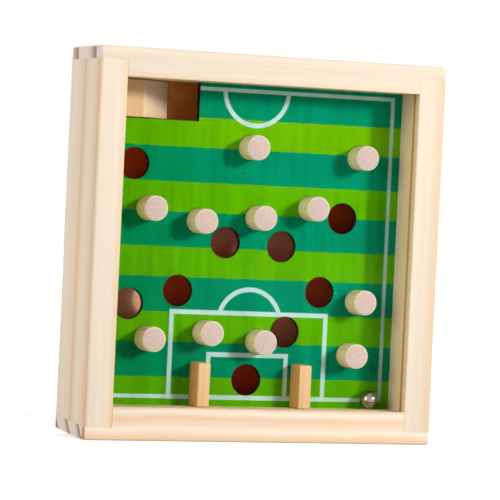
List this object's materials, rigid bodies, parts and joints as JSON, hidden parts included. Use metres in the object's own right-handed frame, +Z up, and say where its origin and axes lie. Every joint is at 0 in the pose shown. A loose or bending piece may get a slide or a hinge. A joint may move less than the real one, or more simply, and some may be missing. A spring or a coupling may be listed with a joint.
{
  "type": "marble maze game",
  "caption": "Upright wooden tilt puzzle: framed two-level box with a printed football pitch, ball holes, dowel pegs, goal posts, return ramp, clear window and a loose steel ball.",
  "frame": {"origin": "middle of the bottom rail's underside, on the surface that the game stands on", "axes": "+X to the player's right, +Z up, and the window faces -Y"},
  "size_m": [0.12, 0.027, 0.1234],
  "materials": {
    "pine": "sanded, unvarnished pine",
    "birch_dowel": "sanded dowel",
    "beech": "sanded, warm tan",
    "printed_plywood": "plywood printed with green bands and white pitch lines",
    "hardboard": "smooth, slightly glossy brown hardboard",
    "clear_acrylic": "clear",
    "polished_steel": "polished"
  },
  "bodies": {
    "case": {"rail_top": "pine", "rail_bottom": "pine", "rail_left": "pine", "rail_right": "pine", "window": "clear_acrylic", "play_board": "printed_plywood", "back_panel": "hardboard", "peg_01": "birch_dowel", "peg_02": "birch_dowel", "peg_03": "birch_dowel", "peg_04": "birch_dowel", "peg_05": "birch_dowel", "peg_06": "birch_dowel", "peg_07": "birch_dowel", "peg_08": "birch_dowel", "peg_09": "birch_dowel", "peg_10": "birch_dowel", "peg_11": "birch_dowel", "goal_post_left": "beech", "goal_post_right": "beech", "return_ramp": "pine"},
    "ball": {"steel_ball": "polished_steel"}
  },
  "joints": [
    {"name": "ball_roll", "type": "slide", "parent": "case", "child": "ball", "axis": [0.0872, 0, 0.9962], "range_m": [0, 0.06]}
  ]
}
